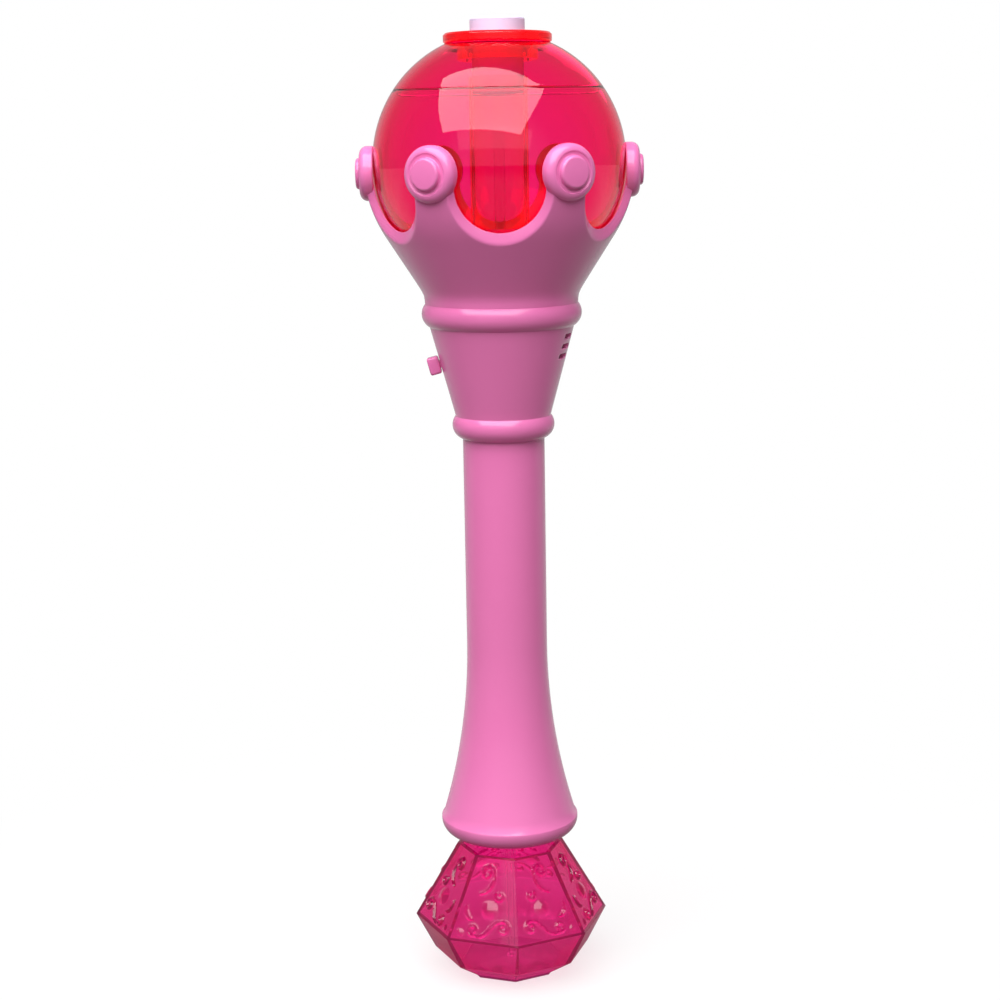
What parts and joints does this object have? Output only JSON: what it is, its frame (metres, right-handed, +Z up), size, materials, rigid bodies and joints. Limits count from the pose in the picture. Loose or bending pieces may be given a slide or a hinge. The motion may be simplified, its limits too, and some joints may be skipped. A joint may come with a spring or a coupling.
{
  "type": "bubble wand",
  "caption": "Battery bubble wand with a faceted screw-off bottle, a flared handle, a scalloped crown and a clear globe topped by a bubble nozzle.",
  "frame": {"origin": "under the middle of the bottle, on the plane that the wand stands on", "axes": "+Z up along the wand to the nozzle, -Y towards the front, +X to the side with the vents"},
  "size_m": [0.1054, 0.097, 0.3643],
  "materials": {
    "pink": "glossy opaque pink",
    "globe_red": "clear red, glossy",
    "bottle_pink": "clear pink, glossy",
    "nozzle_white": "pale lilac white",
    "white_plastic": "plain white moulding",
    "duct_rose": "deep rose moulding",
    "silicone": "milky silicone",
    "rubber_grey": "soft grey rubber",
    "steel": "zinc plated",
    "brass": "machined",
    "can": "plated motor case",
    "cell": "plain cell jacket",
    "board": "circuit board",
    "lamp": "clear lamp",
    "black_plastic": "switch case"
  },
  "bodies": {
    "wand": {"front_shell": "pink", "rear_shell": "pink", "crown": "pink", "crown_pearls": "pink", "bottle_socket": "pink", "socket_plate": "pink", "globe_bowl": "globe_red", "globe_dome": "globe_red", "globe_collar": "globe_red", "bubble_nozzle": "nozzle_white", "dip_tube": "white_plastic", "battery_cradle": "white_plastic", "pump_body": "white_plastic", "gear_plate": "white_plastic", "fan_deck": "white_plastic", "air_duct": "duct_rose", "suction_tube": "silicone", "pump_tube": "silicone", "delivery_tube": "silicone", "shell_screws": "steel", "deck_screws": "steel", "pump_axle": "steel", "counter_axle": "steel", "contact_plates": "steel", "contact_spring": "steel", "motor_can": "can", "battery_cells": "cell", "led_board": "board", "led_lamps": "lamp", "switch_body": "black_plastic"},
    "gasket": {"bottle_gasket": "rubber_grey"},
    "bottle": {"bottle": "bottle_pink"},
    "switch": {"switch_knob": "pink"},
    "motor_rotor": {"motor_shaft": "steel", "motor_pinion": "brass", "fan_impeller": "white_plastic"},
    "counter": {"counter_gear": "white_plastic"},
    "pump": {"pump_rotor": "white_plastic", "roller_pins": "steel"},
    "roller_a": {"pump_roller_a": "rubber_grey"},
    "roller_b": {"pump_roller_b": "rubber_grey"},
    "roller_c": {"pump_roller_c": "rubber_grey"},
    "door": {"battery_door": "pink", "door_screw": "steel"}
  },
  "joints": [
    {"name": "bottle_travel", "type": "slide", "parent": "wand", "child": "gasket", "axis": [0, 0, -1], "range_m": [0, 0.016]},
    {"name": "bottle_turn", "type": "hinge", "parent": "gasket", "child": "bottle", "pos_m": [0, 0, 0.06], "axis": [0, 0, -1], "range_deg": [0, 1440]},
    {"name": "switch_slide", "type": "slide", "parent": "wand", "child": "switch", "axis": [-0.2603, 0, 0.9655], "range_m": [0, 0.004]},
    {"name": "motor_spin", "type": "hinge", "parent": "wand", "child": "motor_rotor", "pos_m": [0, 0, 0.235], "axis": [0, 0, 1], "continuous": true},
    {"name": "counter_spin", "type": "hinge", "parent": "wand", "child": "counter", "pos_m": [0.008, 0, 0.214], "axis": [0, 0, 1], "continuous": true},
    {"name": "pump_spin", "type": "hinge", "parent": "wand", "child": "pump", "pos_m": [0, 0, 0.207], "axis": [0, 0, 1], "continuous": true},
    {"name": "roller_a_spin", "type": "hinge", "parent": "pump", "child": "roller_a", "pos_m": [0.0026, 0.0045, 0.2065], "axis": [0, 0, 1], "continuous": true},
    {"name": "roller_b_spin", "type": "hinge", "parent": "pump", "child": "roller_b", "pos_m": [-0.0052, 0, 0.2065], "axis": [0, 0, 1], "continuous": true},
    {"name": "roller_c_spin", "type": "hinge", "parent": "pump", "child": "roller_c", "pos_m": [0.0026, -0.0045, 0.2065], "axis": [0, 0, 1], "continuous": true},
    {"name": "door_swing", "type": "hinge", "parent": "wand", "child": "door", "pos_m": [0, 0.0154, 0.1863], "axis": [1, 0, 0], "range_deg": [0, 50]}
  ],
  "couplings": [
    {"joint": "bottle_travel", "follows": "bottle_turn", "m_per_rad": 0.00063662},
    {"joint": "counter_spin", "follows": "motor_spin", "ratio": -0.33333},
    {"joint": "pump_spin", "follows": "motor_spin", "ratio": 0.11111},
    {"joint": "roller_a_spin", "follows": "motor_spin", "ratio": -0.33333},
    {"joint": "roller_b_spin", "follows": "motor_spin", "ratio": -0.33333},
    {"joint": "roller_c_spin", "follows": "motor_spin", "ratio": -0.33333}
  ]
}
